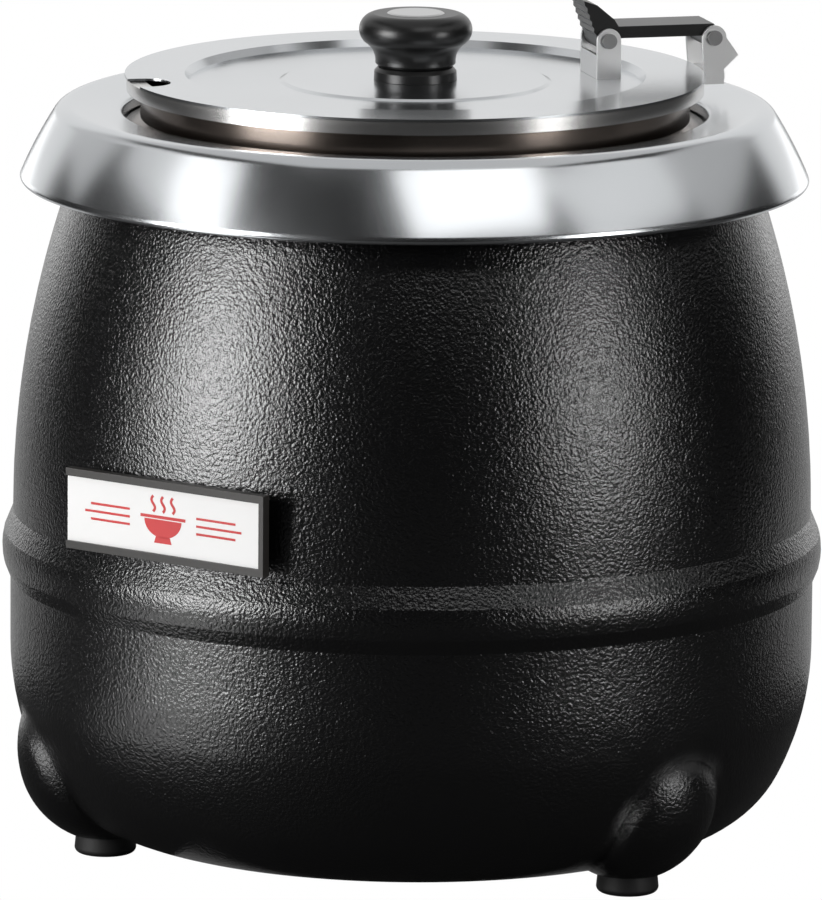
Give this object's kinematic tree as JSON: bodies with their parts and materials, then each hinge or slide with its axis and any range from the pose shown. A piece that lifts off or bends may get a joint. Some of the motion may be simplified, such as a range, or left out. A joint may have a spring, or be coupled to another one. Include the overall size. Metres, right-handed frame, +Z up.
{
  "type": "soup kettle",
  "caption": "Round electric soup kettle with a textured black body, steel collar, lift-out pot and hinged lid with a knob, standing on feet.",
  "frame": {"origin": "on the floor under the body's axis, where the feet rest", "axes": "+Z up along the axis; the lid's hinge is on the +X side and the soup label faces -X -Y"},
  "size_m": [0.3449, 0.345, 0.3575],
  "materials": {
    "black_coat": "textured black powder coat",
    "polished_steel": "polished stainless steel",
    "zinc_steel": "zinc plated",
    "well_aluminium": "spun",
    "heater_sheath": "heat tinted sheath",
    "foot_rubber": "matt",
    "black_plastic": "moulded",
    "brown_plastic": "moulded phenolic",
    "holder_plastic": "extruded",
    "white_plastic": "moulded",
    "cap_silver": "satin disc",
    "lamp_amber": "translucent lens",
    "card_white": "white laminated card",
    "wire_red": "insulated wire",
    "wire_blue": "insulated wire"
  },
  "bodies": {
    "kettle": {"upper_shell": "black_coat", "lower_shell": "black_coat", "foot_1": "foot_rubber", "foot_2": "foot_rubber", "foot_3": "foot_rubber", "foot_screws": "zinc_steel", "collar": "polished_steel", "collar_studs": "zinc_steel", "collar_nuts": "zinc_steel", "water_well": "well_aluminium", "heater_ring": "heater_sheath", "heater_clamp": "zinc_steel", "heater_stud": "zinc_steel", "heater_nut": "zinc_steel", "thermal_cutout": "brown_plastic", "base_cover": "zinc_steel", "base_screws": "zinc_steel", "label_holder": "holder_plastic", "dial_plate": "black_plastic", "thermostat_body": "brown_plastic", "pilot_lamp": "lamp_amber", "cord_gland": "black_plastic", "gland_nut": "black_plastic", "terminal_block": "white_plastic", "live_wire": "wire_red", "neutral_wire": "wire_blue", "heater_wire": "wire_red"},
    "thermostat_knob": {"thermostat_knob": "black_plastic", "thermostat_shaft": "zinc_steel"},
    "label_card": {"label_card": "card_white"},
    "pot": {"inner_pot": "polished_steel", "rim_bracket": "polished_steel", "rim_rivets": "polished_steel", "rim_pin": "polished_steel"},
    "lever": {"hinge_lever": "black_plastic"},
    "lid": {"lid": "polished_steel", "lid_bracket": "polished_steel", "lid_rivets": "polished_steel", "lid_pin": "polished_steel", "knob_base": "black_plastic", "lid_knob": "black_plastic", "knob_cap": "cap_silver", "knob_screw": "zinc_steel"}
  },
  "joints": [
    {"name": "pot_lift", "type": "slide", "parent": "kettle", "child": "pot", "axis": [0, 0, 1], "range_m": [0, 0.26]},
    {"name": "lid_swing", "type": "hinge", "parent": "pot", "child": "lever", "pos_m": [0.12219, 0.03274, 0.3405], "axis": [-0.2588, 0.9659, 0], "range_deg": [0, 105]},
    {"name": "lid_tilt", "type": "hinge", "parent": "lever", "child": "lid", "pos_m": [0.07776, 0.02083, 0.3405], "axis": [-0.2588, 0.9659, 0], "range_deg": [-6.3, 0]},
    {"name": "label_slide", "type": "slide", "parent": "kettle", "child": "label_card", "axis": [-0.8111, 0.585, 0], "range_m": [0, 0.1]},
    {"name": "thermostat_turn", "type": "hinge", "parent": "kettle", "child": "thermostat_knob", "pos_m": [0.10411, 0.13325, 0.096], "axis": [0.6157, 0.788, 0], "range_deg": [-270, 0]}
  ],
  "couplings": [
    {"joint": "lid_tilt", "follows": "lid_swing", "ratio": -0.06}
  ]
}
